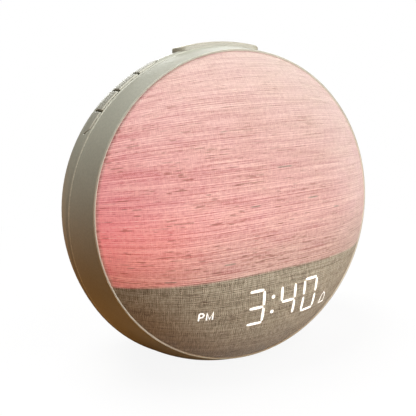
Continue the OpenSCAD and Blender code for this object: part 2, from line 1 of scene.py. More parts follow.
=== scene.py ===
"""Round sunrise alarm clock: the looks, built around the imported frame. Metres, +Z up, face towards -Y."""

import json
import math

import bmesh
import bpy
import numpy as np
from mathutils import Matrix, Vector

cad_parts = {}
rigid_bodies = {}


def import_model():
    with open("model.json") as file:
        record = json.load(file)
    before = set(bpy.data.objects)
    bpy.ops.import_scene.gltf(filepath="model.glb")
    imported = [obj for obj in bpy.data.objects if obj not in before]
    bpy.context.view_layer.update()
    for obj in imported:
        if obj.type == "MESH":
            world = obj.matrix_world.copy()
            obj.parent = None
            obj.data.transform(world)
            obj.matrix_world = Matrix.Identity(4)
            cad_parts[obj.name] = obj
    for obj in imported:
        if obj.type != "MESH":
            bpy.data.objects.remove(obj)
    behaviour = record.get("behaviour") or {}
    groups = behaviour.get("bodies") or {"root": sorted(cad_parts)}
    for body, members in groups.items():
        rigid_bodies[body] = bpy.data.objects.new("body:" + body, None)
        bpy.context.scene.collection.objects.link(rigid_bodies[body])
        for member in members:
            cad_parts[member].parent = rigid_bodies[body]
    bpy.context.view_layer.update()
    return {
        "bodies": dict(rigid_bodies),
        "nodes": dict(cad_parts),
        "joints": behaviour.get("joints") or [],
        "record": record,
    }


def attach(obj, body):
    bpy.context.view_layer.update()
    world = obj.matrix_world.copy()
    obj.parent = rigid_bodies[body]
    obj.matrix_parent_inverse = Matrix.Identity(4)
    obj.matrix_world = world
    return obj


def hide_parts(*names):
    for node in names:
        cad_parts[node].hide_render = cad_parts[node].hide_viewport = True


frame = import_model()
nodes = frame["nodes"]

# ------------------------------------------------------------ sizes, the same as in the part's source
MM = 0.001

FACE_R = 80.5 * MM            # edge of the domed face
DOME_H = 27 * MM              # height of the dome over its edge
DOME_POWER = 3.75             # flat in the middle, steep at the edge
LEAN = math.radians(4.6)      # the face leans back in the housing
FACE_RISE = 4.7 * MM          # middle of the face over the housing's axis
CLOTH_R = FACE_R - 0.1 * MM
CLOTH_TUCK = 3.1 * MM         # cloth turned in behind the pale ring
BAND_Z = -27.5 * MM           # line between the lit cloth and the display's band

RIM_R = FACE_R + 1 * MM       # front edge of the housing
LIP_Y = 0.4 * MM              # front edge of the flare, behind the plane of the face
SEAM_Y = 21.4 * MM            # seam between the two halves of the housing
SEAM_R = 87.9 * MM
FLARE_BEND = 0.5              # how far the flare rounds out between rim and seam
RIDGE_Y = 24.5 * MM           # widest place of the housing
RIDGE_R = 89 * MM
BACK_Y = 60 * MM
BACK_FLAT_R = 74.5 * MM       # edge of the flat back, inside its round shoulder
WALL = 2.4 * MM
BASE_CUT = 79 * MM            # flat underside below the housing's axis
FOOT_OUT = 1 * MM

KEY_LEN = 50.4 * MM
KEY_W = 10.6 * MM
KEY_TOP = 90.5 * MM
KEY_ARCH_R = 107 * MM
BUTTON_Y = 23.1 * MM          # front edge of the key and of the buttons
BUTTON_W = 10.6 * MM
BUTTON_PROUD = 0.15 * MM
BUTTON_COUNT = 4
BUTTON_PITCH = 8.65           # degrees
BUTTON_SPLIT = 1.1 * MM
SLOT_FROM = 113.0             # degrees
FLANGE_T = 1.2 * MM           # flange that holds a cap in its opening

DIGIT_Z = -45.4 * MM          # middle of the digits under the middle of the face
DIGIT_H = 19.9 * MM
DIGIT_W = 9.7 * MM
BAR_W = 1.5 * MM
BAR_GAP = 1.4 * MM
COLON_X = -1.6 * MM
DIGIT_X1 = 9.4 * MM           # digits' middles beside the colon
DIGIT_X2 = 23.8 * MM

# Foremost point of the leaning dome, and with it the middle of the footprint
DOME_PLACES = [d * MM for d in range(0, 81, 2)]
DOME_FRONT = min(-DOME_H * (1 - (d / FACE_R) ** DOME_POWER) * math.cos(LEAN) - d * math.sin(LEAN)
                 for d in DOME_PLACES)
MID_Y = (BACK_Y + DOME_FRONT) / 2

# Frames: the housing's axis, the leaning face in the housing, and the face in the scene
HOUSING = Matrix.Translation((0, -MID_Y, BASE_CUT + FOOT_OUT))
LEANED = Matrix.Translation((0, 0, FACE_RISE)) @ Matrix.Rotation(-LEAN, 4, "X")
FACE = HOUSING @ LEANED


# ------------------------------------------------------------ node trees
class Nodes:
    """Short calls for the nodes that the finishes and the world share."""

    def __init__(self, tree):
        self.tree = tree

    def add(self, kind, inputs=None, **properties):
        node = self.tree.nodes.new(kind)
        for key, value in properties.items():
            setattr(node, key, value)
        for key, value in (inputs or {}).items():
            self.put(node.inputs[key], value)
        return node

    def put(self, socket, value):
        if isinstance(value, bpy.types.NodeSocket):
            self.tree.links.new(value, socket)
        else:
            socket.default_value = value

    def math(self, operation, a, b=0.0, c=0.0, clamp=False):
        node = self.add("ShaderNodeMath", {0: a, 1: b, 2: c}, operation=operation, use_clamp=clamp)
        return node.outputs[0]

    def times(self, value, *factors):
        for factor in factors:
            value = self.math("MULTIPLY", value, factor)
        return value

    def times_plus(self, value, factor, more):
        return self.math("MULTIPLY_ADD", value, factor, more)

    def scaled(self, vector, factors, offset=(0, 0, 0)):
        inputs = {0: vector, 1: factors, 2: offset}
        return self.add("ShaderNodeVectorMath", inputs, operation="MULTIPLY_ADD").outputs[0]

    def parts(self, vector):
        return self.add("ShaderNodeSeparateXYZ", {0: vector}).outputs

    def length(self, vector):
        return self.add("ShaderNodeVectorMath", {0: vector}, operation="LENGTH").outputs["Value"]

    def noise(self, vector, scale=1.0, detail=2.0, rough=0.5):
        inputs = {"Vector": vector, "Scale": scale, "Detail": detail, "Roughness": rough}
        return self.add("ShaderNodeTexNoise", inputs).outputs[0]

    def step(self, value, low, high):
        """Soft step from 0 at low to 1 at high."""
        inputs = {0: value, 1: low, 2: high}
        return self.add("ShaderNodeMapRange", inputs, interpolation_type="SMOOTHSTEP").outputs[0]

    def span(self, value, low, high, to_low, to_high):
        """Straight line from to_low at low to to_high at high."""
        inputs = {0: value, 1: low, 2: high, 3: to_low, 4: to_high}
        return self.add("ShaderNodeMapRange", inputs).outputs[0]

    def spread(self, noise, to_low=0, to_high=1):
        """Stretches a noise, whose values are nearly all between 0.3 and 0.7."""
        return self.span(noise, 0.3, 0.7, to_low, to_high)

    def between(self, factor, a, b):
        return self.add("ShaderNodeMix", {0: factor, 2: a, 3: b}).outputs[0]

    def mix(self, factor, a, b, blend="MIX"):
        node = self.add("ShaderNodeMix", {0: factor, 6: a, 7: b}, data_type="RGBA", blend_type=blend)
        return node.outputs[2]


class Look(Nodes):
    """One material. Places in it are measured in the piece's own frame."""

    def __init__(self, name):
        self.material = bpy.data.materials.new(name)
        self.material.use_nodes = True
        super().__init__(self.material.node_tree)
        self.shader = self.tree.nodes["Principled BSDF"]
        self.place = self.add("ShaderNodeTexCoord").outputs["Object"]

    def set(self, **values):
        for key, value in values.items():
            self.put(self.shader.inputs[key.replace("_", " ")], value)

    def bump(self, height, distance, strength=1.0, normal=None):
        inputs = {"Height": height, "Distance": distance, "Strength": strength}
        if normal is not None:
            inputs["Normal"] = normal
        return self.add("ShaderNodeBump", inputs).outputs[0]

    def rounded_edges(self, radius):
        return self.add("ShaderNodeBevel", {"Radius": radius}, samples=4).outputs[0]


def colour(r, g, b):
    return (r, g, b, 1.0)


def shade(tone, factor, lift=0.0):
    """A colour from a tone, made lighter or darker."""
    return colour(*[min(1.0, c * factor + lift) for c in tone])


# ------------------------------------------------------------ plastic, metal, boards, rubber and paper
CLOUDS, MOTTLES, GRITS = 26, 1050, 2300       # patches per metre of plastic
PAINTED_GLOW_FROM, PAINTED_GLOW_FULL = 15.2 * MM, 75.2 * MM   # where the painted glow starts, and where it is full
PAINTED_LINE_FROM, PAINTED_LINE_FULL = 155 * MM, 140 * MM     # a front edge's painted highlight line gets stronger between these heights


def edge_rub_and_highlight(look, rounded, mottle, wear_and_highlight):
    """How far the edges are painted pale, partly as rubbing and partly as a painted highlight, found where
    the rounded normal turns away from the true one.
    """
    true_normal = look.add("ShaderNodeNewGeometry").outputs["Normal"]
    turn = look.add("ShaderNodeVectorMath", {0: rounded, 1: true_normal}, operation="DOT_PRODUCT")
    return look.times(look.step(turn.outputs["Value"], 0.985, 0.86),
                      look.span(mottle, 0.35, 0.7, wear_and_highlight * 0.6, wear_and_highlight))


def front_painted_highlight(look, mottle, front):
    """Painted highlight: a pale line along a piece's front edge, which lies at the given depth, stronger
    lower down.
    """
    _, y, z = look.parts(look.place)
    line = look.times(look.step(y, front + 1.2 * MM, front + 0.7 * MM),
                      look.span(mottle, 0.35, 0.7, 0.15, 0.4))
    return look.math("MULTIPLY", line, look.span(z, PAINTED_LINE_FROM, PAINTED_LINE_FULL, 1.0, 2.3), clamp=True)


def moulded(name, tone, rough=0.45, grain=1.0, edge=0.35 * MM, wear_and_highlight=0.35, front=None, painted_glow=None,
            tints=(), **extra):
    """Moulded plastic: spark-eroded grain, slow clouding of the tint, edges painted pale, partly as rubbing
    and partly as a painted highlight, with a painted highlight line along the front edge, which has the given
    depth in the piece. A thin piece gets a painted glow on its right and upper side, where the lamp is
    whitest. Each tint, a painted shade or painted bounce light, comes in between two heights in the piece."""
    look = Look(name)
    x, _, z = look.parts(look.place)
    cloud = look.noise(look.place, CLOUDS, 3)
    mottle = look.noise(look.place, MOTTLES, 2, 0.6)
    grit = look.noise(look.place, GRITS, 3, 0.65)
    base = look.mix(look.spread(cloud), shade(tone, 0.97), shade(tone, 1.08))
    base = look.mix(look.span(grit, 0.35, 0.75, 0, 0.3), base, shade(tone, 0.72))
    base = look.mix(look.span(mottle, 0.35, 0.65, 0, 0.4 * grain), base, shade(tone, 0.68))
    # Each tint between two heights is painted light: painted shade or painted warm bounce light
    for start, end, tint in tints:
        base = look.mix(look.step(z, start, end), base, colour(*tint), "MULTIPLY")
    rounded = look.rounded_edges(edge)
    # Pale edges: partly rubbing, partly a painted highlight; the front edge's pale line is a painted
    # highlight
    rub_and_highlight = edge_rub_and_highlight(look, rounded, mottle, wear_and_highlight)
    if front is not None:
        rub_and_highlight = look.math("MAXIMUM", rub_and_highlight, front_painted_highlight(look, mottle, front))
    # Painted glow: emission that grows towards the piece's right and upper side
    if painted_glow is not None:
        painted_glow_share = look.span(look.times_plus(z, 0.3, x), PAINTED_GLOW_FROM, PAINTED_GLOW_FULL, 0, 1)
        look.set(Emission_Color=colour(*painted_glow), Emission_Strength=painted_glow_share)
    dull = look.math("ADD", look.spread(grit, rough - 0.04, rough + 0.06), look.spread(cloud, -0.03, 0.03))
    height = look.times_plus(grit, 0.6, look.times(mottle, 0.4))
    look.set(Base_Color=look.mix(rub_and_highlight, base, shade(tone, 2.0, 0.08)), Roughness=dull,
             Normal=look.bump(height, 0.03 * MM * grain, 0.5, rounded), **extra)
    return look.material


def metal(name, tone, rough, brushed=(900, 60, 900)):
    """Plated or turned metal with fine directional scratches and a little tarnish."""
    look = Look(name)
    lines = look.noise(look.scaled(look.place, brushed), 1, 3, 0.6)
    patina = look.noise(look.place, 160, 3)
    base = look.mix(look.span(patina, 0.4, 0.75, 0, 0.5), colour(*tone), shade(tone, 0.7))
    look.set(Base_Color=base, Metallic=1.0, Roughness=look.spread(lines, rough - 0.08, rough + 0.12),
             Normal=look.bump(lines, 0.02 * MM, 0.35, look.rounded_edges(0.15 * MM)))
    return look.material


def board(name, tone):
    """Solder-masked board: faint traces, glass weave, satin lacquer."""
    look = Look(name)
    cells = look.add("ShaderNodeTexVoronoi", {"Vector": look.place, "Scale": 260.0}, distance="MANHATTAN",
                     feature="DISTANCE_TO_EDGE").outputs[0]
    traces = look.step(cells, 0.035, 0.02)
    weave = look.noise(look.place, 3000, 1)
    base = look.mix(traces, colour(*tone), colour(*[c * 1.7 + 0.01 for c in tone]))
    base = look.mix(look.span(weave, 0.35, 0.7, 0, 0.2), base, shade(tone, 0.6))
    look.set(Base_Color=base, Roughness=look.spread(weave, 0.28, 0.4), Coat_Weight=0.3, Coat_Roughness=0.2,
             Normal=look.bump(look.times(traces, 0.6), 0.04 * MM, 0.6))
    return look.material


def glowing(name, tone, strength, body):
    """Frosted light parts: milky plastic with fine mottling that also sends light out."""
    look = Look(name)
    mottle = look.noise(look.place, 500, 3)
    base = look.mix(look.spread(mottle), shade(body, 0.92), colour(*body))
    look.set(Base_Color=base, Roughness=look.spread(mottle, 0.35, 0.5), Subsurface_Weight=0.2,
             Emission_Color=colour(*tone), Emission_Strength=strength,
             Normal=look.bump(mottle, 0.02 * MM, 0.4))
    return look.material


def matt(name, tone, rough, scale, depth, **extra):
    """Rubber, foam, paper and flex: a dry surface with its own grain."""
    look = Look(name)
    grain = look.noise(look.place, scale, 4, 0.65)
    patch = look.noise(look.place, 60, 2)
    base = look.mix(look.spread(grain), shade(tone, 0.78), shade(tone, 1.15))
    base = look.mix(look.span(patch, 0.45, 0.7, 0, 0.3), base, shade(tone, 1.3, 0.01))
    look.set(Base_Color=base, Roughness=look.spread(grain, rough - 0.05, rough + 0.05),
             Normal=look.bump(grain, depth, 0.6), **extra)
    return look.material


# ------------------------------------------------------------ linen
YARN = 0.52 * MM                                  # pitch of the threads
THREAD_SHIFT = 7.31                               # sets each thread's unevenness apart from the next one's
WEFT_STRETCHES = ((1.8 * MM, 3.0, 0.27), (16 * MM, 9.0, 0.33), (50 * MM, 12.0, 0.4))  # length, seed, share
YARN_DARK, YARN_PALE = (0.15, 0.123, 0.08), (0.665, 0.62, 0.488)
GAP_TONE = (0.08, 0.055, 0.035)
THIN_TONE = (0.10, 0.06, 0.038)
KNOT_TONE = (0.22, 0.21, 0.15)
PAINTED_UNDER_SHADE = (0.71, 0.57, 0.445)                  # painted shade and warm bounce on the dome's lower edge, which faces the floor

GLOW_LOW_LEFT, GLOW_HIGH_RIGHT = (0.66, 0.094, 0.147), (0.345, 0.152, 0.2)
GLOW_RIGHT = (0.46, 0.232, 0.288)
GLOW_CORNER = (0.80, 0.14, 0.155)
GLOW_THIN = (0.62, 0.38, 0.30)                    # tint of thin places in front of the lamp
WEFT_TINTS = (1.0, 0.94, 0.88), (1.0, 1.05, 1.12)
PATCH_TINTS = (1.015, 0.965, 1.03), (0.985, 1.03, 0.97)
BARS_TONE = (1.0, 0.98, 0.95)


class Linen(Look):
    """Plain weave of slubby yarn: every weft and warp thread gets its own thick and thin places. The
    flat cloth's UV map is in metres, and x, z and out are in radii of the face from its middle."""

    def __init__(self, name):
        super().__init__(name)
        self.uv = self.add("ShaderNodeUVMap", uv_map="cloth").outputs[0]
        face = self.scaled(self.place, (1 / FACE_R, 0, 1 / FACE_R))
        self.x, _, self.z = self.parts(face)
        self.out = self.length(face)
        self.weave()
        self.slubs()
        self.even_out()

    def along(self, distance, thread, length, seed, detail=0.0):
        """Unevenness along one thread, in stretches of about the given length."""
        place = self.add("ShaderNodeCombineXYZ", {0: self.math("DIVIDE", distance, length / YARN),
                                                  1: self.times(thread, THREAD_SHIFT), 2: seed})
        return self.noise(place.outputs[0], 1, detail)

    def weave(self):
        """Counts the threads, which sway a little, and lets weft and warp take turns on top."""
        across, up, _ = self.parts(self.uv)
        sway = self.noise(self.scaled(self.uv, (90, 240, 1)))
        drift = self.noise(self.scaled(self.uv, (16, 300, 1), (3, 1, 5)), detail=0)
        self.u = self.math("DIVIDE", self.times_plus(sway, 0.6 * MM, across), YARN)
        self.v = self.math("DIVIDE", self.times_plus(drift, 0.8 * MM, up), YARN)
        self.column, self.row = self.math("FLOOR", self.u), self.math("FLOOR", self.v)
        weft_round = self.math("ABSOLUTE", self.math("SINE", self.times(self.v, math.pi)))
        warp_round = self.math("ABSOLUTE", self.math("SINE", self.times(self.u, math.pi)))
        turn = self.math("PINGPONG", self.math("ADD", self.column, self.row), 1.0)
        weft_top = self.times(weft_round, self.span(turn, 0, 1, 0.55, 1))
        warp_top = self.times(warp_round, self.span(turn, 0, 1, 1, 0.55))
        self.height = self.math("MAXIMUM", weft_top, warp_top)
        self.warp_over = self.step(self.math("SUBTRACT", warp_top, weft_top), -0.12, 0.12)
        self.gap = self.times(self.math("SUBTRACT", 1.0, warp_round), self.math("SUBTRACT", 1.0, weft_round))

    def slubs(self):
        """Tone of each thread along its length, its thin places (slub, nick) and its knots."""
        weft = self.times(self.math("PINGPONG", self.row, 1.0), 0.07)
        for length, seed, share in WEFT_STRETCHES:
            weft = self.times_plus(self.along(self.u, self.row, length, seed), share, weft)
        warp = self.along(self.v, self.column, 4 * MM, 15.0, 1.0)
        warp = self.times_plus(self.math("PINGPONG", self.column, 1.0), 0.14, warp)
        self.weft = self.span(weft, 0.37, 0.71, 0, 1)
        self.warp = self.span(warp, 0.36, 0.78, 0, 1)
        self.patch = self.noise(self.scaled(self.uv, (60, 130, 1), (1, 7, 2)))
        nick = self.times_plus(self.patch, 0.6, self.along(self.u, self.row, 7 * MM, 41.0))
        self.nick = self.times(self.step(nick, 0.99, 1.10), 0.8)
        self.slub = self.step(self.along(self.u, self.row, 12 * MM, 21.0), 0.71, 0.83)
        pair = self.math("FLOOR", self.times(self.v, 0.7))
        self.knot = self.step(self.along(self.u, pair, 16 * MM, 31.0), 0.825, 0.88)

    def even_out(self):
        """Makes the weft's tone more even and its thin places fainter towards the upper right."""
        calm = self.span(self.times_plus(self.x, 0.8, self.z), -0.2, 1.0, 0.03, 0.52)
        self.weft = self.between(calm, self.weft, 0.5)
        thin = self.math("MAXIMUM", self.slub, self.nick)
        self.thin = self.times(thin, self.span(calm, 0.05, 0.35, 1.0, 0.35))

    def yarn(self, lit):
        """Colour of the yarn, with painted shade and warm bounce light on the dome's lower edge. The warp
        shows less where it is lit by the lamp.
        """
        warp_shows = self.times(self.warp_over, self.span(lit, 0, 1, 1.0, 0.35))
        tone = self.between(warp_shows, self.weft, self.warp)
        yarn = self.mix(tone, colour(*YARN_DARK), colour(*YARN_PALE))
        yarn = self.mix(self.times(self.gap, 0.8), yarn, colour(*GAP_TONE))
        yarn = self.mix(self.times(self.thin, 0.7), yarn, colour(*THIN_TONE))
        yarn = self.mix(self.times(self.knot, 0.5), yarn, colour(*KNOT_TONE))
        # Painted shade and warm bounce light on the dome's lower edge, strongest on the left
        under = self.times(self.step(self.out, 0.74, 1.0), self.step(self.z, -0.3, -0.6),
                           self.span(self.x, 0.3, -0.4, 0.35, 1.0))
        return self.mix(under, yarn, colour(*PAINTED_UNDER_SHADE), "MULTIPLY")

    def through(self):
        """Light that each place passes on: less in the weave's gaps, most so in some patches, and little
        in knots."""
        dense = self.span(self.patch, 0.4, 0.62, 0.1, 0.42)
        return self.times(self.span(self.weft, 0, 1, 1.07, 0.93),
                          self.math("SUBTRACT", 1.0, self.times(self.gap, dense)),
                          self.span(self.knot, 0, 1, 1.0, 0.4))

    def lamp_colour(self):
        """Deep pink at the lower left, paler towards the upper right, with the yarn's own tint."""
        towards = self.math("MULTIPLY_ADD", self.x, 0.36, self.times_plus(self.z, 0.45, 0.5), clamp=True)
        glow = self.mix(towards, colour(*GLOW_LOW_LEFT), colour(*GLOW_HIGH_RIGHT))
        glow = self.mix(self.step(self.x, 0.3, 1.0), glow, colour(*GLOW_RIGHT))
        corner = self.times(self.step(self.x, -0.3, -0.85), self.step(self.z, 0.2, -0.3))
        glow = self.mix(corner, glow, colour(*GLOW_CORNER))
        patch = self.span(self.patch, 0.35, 0.65, 0, 1)
        for factor, tints in ((self.weft, WEFT_TINTS), (patch, PATCH_TINTS)):
            glow = self.mix(1.0, glow, self.mix(factor, colour(*tints[0]), colour(*tints[1])), "MULTIPLY")
        return self.mix(self.thin, glow, colour(*GLOW_THIN), "MULTIPLY")

    def lamp_strength(self, lit, lamp):
        """Even light that falls off at the left edge and towards the display's band."""
        edge = self.times(self.step(self.out, 1 - 1.5 * MM / FACE_R, 1 - 0.3 * MM / FACE_R),
                          self.step(self.x, 0.0, -0.8))
        return self.times(lit, self.span(edge, 0, 1, 1.0, 0.55),
                          self.span(self.patch, 0.35, 0.65, 0.965, 1.035),
                          self.span(self.step(self.z, 0.05, -0.36), 0, 1, 1.0, 0.55), self.through(), lamp)

    def finished(self, lit):
        """Sets the yarn's colour and relief. lit is 1 where the lamp shines through the cloth."""
        fuzz = self.noise(self.scaled(self.uv, (4200, 4200, 1)), rough=0.6)
        relief = self.times_plus(fuzz, 0.35, self.height)
        relief = self.times_plus(self.math("MAXIMUM", self.slub, self.knot), 0.5, relief)
        self.set(Base_Color=self.yarn(lit), Roughness=0.86, Normal=self.bump(relief, 0.16 * MM, 0.7),
                 Sheen_Weight=0.25, Sheen_Roughness=0.45, Specular_IOR_Level=0.25)
        return self.material


def lamp_linen(name, lamp):
    """Cloth in front of the lamp, which glows through above the band's line."""
    look = Linen(name)
    line = look.times_plus(look.slub, 0.5 * MM / FACE_R, look.z)
    lit = look.step(line, (BAND_Z - 0.7 * MM) / FACE_R, (BAND_Z + 1.1 * MM) / FACE_R)
    look.set(Emission_Color=look.lamp_colour(), Emission_Strength=look.lamp_strength(lit, lamp))
    return look.finished(lit)


def bars_linen(name, bars):
    """Cloth in front of the display's lit windows, whose light fades with the mesh's glow values."""
    look = Linen(name)
    glow = look.add("ShaderNodeAttribute", attribute_name="glow").outputs["Fac"]
    strength = look.times(glow, look.span(look.through(), 0.6, 1.2, 0.62, 1.0), bars)
    look.set(Emission_Color=colour(*BARS_TONE), Emission_Strength=strength)
    return look.finished(0.0)


# ------------------------------------------------------------ finishes of the nodes
SAGE = (0.40, 0.40, 0.325)
finishes = {
    # housing: warmer, browner lower part as painted warm bounce light from the floor
    "housing": moulded("housing_sage", SAGE, 0.42, wear_and_highlight=0.1,
                       tints=[(-60 * MM, -77 * MM, (1.10, 0.94, 0.66))], Specular_IOR_Level=0.45),
    "key_plastic": moulded("key_sage", (0.42, 0.40, 0.317), 0.38, 0.8, wear_and_highlight=0.7, Specular_IOR_Level=0.45),
    "cover_plastic": moulded("cover_sage", [c * 0.86 for c in SAGE], 0.52, 1.8, Specular_IOR_Level=0.4),
    # trim: painted glow on its right and upper side, painted shade browner at the bottom, and darker, cooler
    # upper part as painted shade
    "trim": moulded("trim_cream", (0.59, 0.53, 0.415), 0.4, 0.3, edge=0.2 * MM, painted_glow=(0.28, 0.26, 0.215),
                    tints=[(36 * MM, 11 * MM, (0.66, 0.50, 0.38)), (90 * MM, 135 * MM, (0.77, 0.84, 0.87))],
                    Coat_Weight=0.1, Coat_Roughness=0.3),
    "linen": lamp_linen("cloth_linen", 0.925),
    "diffuser": glowing("diffuser_frost", (1.0, 0.55, 0.5), 0.05, (0.9, 0.88, 0.85)),
    "white_plastic": moulded("white_plastic", (0.80, 0.80, 0.77), 0.4, 0.7),
    "white_board": board("white_board", (0.62, 0.63, 0.60)),
    "lamp_chips": glowing("lamp_chips", (1.0, 0.45, 0.35), 0.6, (0.95, 0.75, 0.25)),
    "black_plastic": moulded("black_plastic", (0.022, 0.022, 0.024), 0.48, 1.2),
    "light_guides": glowing("light_guides", (1.0, 0.97, 0.93), 0.4, (0.85, 0.87, 0.9)),
    "green_board": board("green_board", (0.012, 0.085, 0.035)),
    "flex": matt("flex_film", (0.42, 0.17, 0.035), 0.35, 900, 0.01 * MM, Coat_Weight=0.4),
    "steel": metal("steel_plated", (0.40, 0.445, 0.49), 0.42),
    "chips": moulded("chip_body", (0.018, 0.018, 0.019), 0.55, 1.6),
    "foot_rubber": matt("foot_rubber", (0.030, 0.029, 0.027), 0.82, 1800, 0.05 * MM),
    "gasket_foam": matt("gasket_foam", (0.022, 0.022, 0.022), 0.92, 1300, 0.12 * MM),
    "cone_paper": matt("cone_paper", (0.020, 0.020, 0.022), 0.8, 700, 0.08 * MM, Sheen_Weight=0.1),
}
# Darker than the housing's sage: painted shade on the button tops. The pale line along each front edge is a
# painted highlight.
button_finish = moulded("button_sage", (0.33, 0.325, 0.263), 0.5, 1.3, edge=0.6 * MM, wear_and_highlight=0.7,
                        front=-BUTTON_W / 2, Specular_IOR_Level=0.4)
# The pale line just behind the seam is a painted highlight.
rear_finish = moulded("rear_sage", SAGE, 0.42, 1.1, edge=0.9 * MM, wear_and_highlight=0.55,
                      front=SEAM_Y + 0.2 * MM - MID_Y, Specular_IOR_Level=0.45)
lit_finish = bars_linen("cloth_lit", 1.4)
for item in nodes.values():
    for place in item.material_slots:
        slot = place.material.name.split(".")[0] if place.material else None
        place.material = finishes.get(slot, place.material)
nodes["rear_shell"].material_slots[0].material = rear_finish


# ------------------------------------------------------------ mesh helpers
def bridge(bm, here, after):
    """Quads between two closed rings of vertices."""
    for k in range(len(here)):
        n = (k + 1) % len(here)
        bm.faces.new((here[k], here[n], after[n], after[k]))


def fan(bm, ring, middle):
    """Triangles between a closed ring of vertices and one vertex."""
    for k in range(len(ring)):
        bm.faces.new((ring[k], ring[(k + 1) % len(ring)], middle))


def mesh_from(bm, name, angle=None):
    """Mesh with smooth faces, and with sharp edges where they turn by more than the angle."""
    mesh = bpy.data.meshes.new(name)
    bm.to_mesh(mesh)
    bm.free()
    mesh.polygons.foreach_set("use_smooth", [True] * len(mesh.polygons))
    if angle is not None:
        mesh.set_sharp_from_angle(angle=math.radians(angle))
    return mesh


def cut(bm, place, normal):
    """Cuts all faces where they cross a plane."""
    bmesh.ops.bisect_plane(bm, geom=bm.verts[:] + bm.edges[:] + bm.faces[:], plane_co=place, plane_no=normal)


def add_object(name, mesh, material, matrix, body="housing"):
    item = bpy.data.objects.new(name, mesh)
    bpy.context.scene.collection.objects.link(item)
    item.matrix_world = matrix
    mesh.materials.append(material)
    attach(item, body)
    return item


def round_point(matrix, r, y, a):
    """Point at angle a on a circle about a frame's Y axis."""
    return matrix @ Vector((r * math.cos(a), y, r * math.sin(a)))


# ------------------------------------------------------------ cloth
CLOTH_TURNS, CLOTH_RINGS, TUCK_RINGS = 288, 84, 3


def dome_y(d):
    """Depth of the cloth at a distance from the face's axis."""
    return -DOME_H * (1 - min(1.0, d / CLOTH_R) ** DOME_POWER)


# Distance along the cloth from the middle of the face, for every distance from its axis
ARC_D = np.linspace(0, CLOTH_R, 2001)
ARC_S = np.append(0, np.cumsum(np.hypot(np.diff(ARC_D), np.diff([dome_y(d) for d in ARC_D]))))


def along_cloth(d):
    return float(np.interp(d, ARC_D, ARC_S))


def cloth_circles():
    """Circles of the cloth from the middle out: radius, depth, distance along the cloth."""
    radii = [CLOTH_R * math.sin(math.pi / 2 * k / CLOTH_RINGS) for k in range(1, CLOTH_RINGS + 1)]
    tucks = [CLOTH_TUCK * k / TUCK_RINGS for k in range(1, TUCK_RINGS + 1)]
    return ([(d, dome_y(d), along_cloth(d)) for d in radii]
            + [(CLOTH_R, tuck, along_cloth(CLOTH_R) + tuck) for tuck in tucks])


def build_cloth():
    """The stretched sheet over the dome. Its UV map is the flat cloth."""
    bm = bmesh.new()
    layer = bm.loops.layers.uv.new("cloth")
    middle = bm.verts.new((0, dome_y(0), 0))
    flat = {middle: (0.0, 0.0)}
    rings = []
    for d, y, s in cloth_circles():
        ring = []
        for k in range(CLOTH_TURNS):
            a = 2 * math.pi * k / CLOTH_TURNS
            vert = bm.verts.new((d * math.cos(a), y, d * math.sin(a)))
            flat[vert] = (s * math.cos(a), s * math.sin(a))
            ring.append(vert)
        rings.append(ring)
    fan(bm, rings[0], middle)
    for inner, outer in zip(rings, rings[1:]):
        bridge(bm, inner, outer)
    for face in bm.faces:
        for loop in face.loops:
            loop[layer].uv = flat[loop.vert]
    bmesh.ops.recalc_face_normals(bm, faces=bm.faces)
    item = add_object("cloth", mesh_from(bm, "cloth"), finishes["linen"], FACE)
    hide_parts("fabric_cover")
    reach = cloth_circles()[-1][2]


build_cloth()

# ------------------------------------------------------------ housing front
FLARE_TURNS, FLARE_STEPS = 360, 24
FLARE_END_Y = SEAM_Y + 0.1 * MM
LIP_ROUND = 0.15 * MM                   # rounding of the flare's front edge
SHELF_Y, SHELF_T = 3.2 * MM, 2 * MM     # shelf behind the pale ring


def flare_circle(t):
    """Circle of the flare at a share of the way from rim to seam, less leaning and wider: frame, radius,
    depth in the frame."""
    out = t + FLARE_BEND * t * (1 - t)
    middle = Matrix.Translation((0, (FLARE_END_Y - LIP_ROUND) * t, FACE_RISE * (1 - out)))
    frame = middle @ Matrix.Rotation(-LEAN * (1 - t), 4, "X")
    return frame, RIM_R + (SEAM_R - RIM_R) * out, (LIP_Y + LIP_ROUND) * (1 - t)


def front_circles():
    """Circles round the wall of the front: frame, radius, depth, and 1 for those on the outside."""
    upright = Matrix.Identity(4)
    groove_r, bore_r = RIM_R - 0.6 * MM, FACE_R - 4 * MM
    rim = [(LEANED, groove_r, SHELF_Y, 0), (LEANED, groove_r, -0.52 * MM, 1),
           (LEANED, RIM_R - 0.3 * MM, -0.5 * MM, 1), (LEANED, RIM_R - 0.06 * MM, -0.1 * MM, 1)]
    flare = [(*flare_circle(k / FLARE_STEPS), 1) for k in range(FLARE_STEPS + 1)]
    seam = [(upright, SEAM_R - 0.03 * MM, FLARE_END_Y - 0.08 * MM, 1),
            (upright, SEAM_R - 0.1 * MM, FLARE_END_Y, 1), (upright, SEAM_R - WALL, FLARE_END_Y, 0)]
    shelf = [(LEANED, RIM_R - WALL, SHELF_Y + SHELF_T, 0), (LEANED, bore_r, SHELF_Y + SHELF_T, 0),
             (LEANED, bore_r, SHELF_Y, 0)]
    return rim + flare + seam + shelf


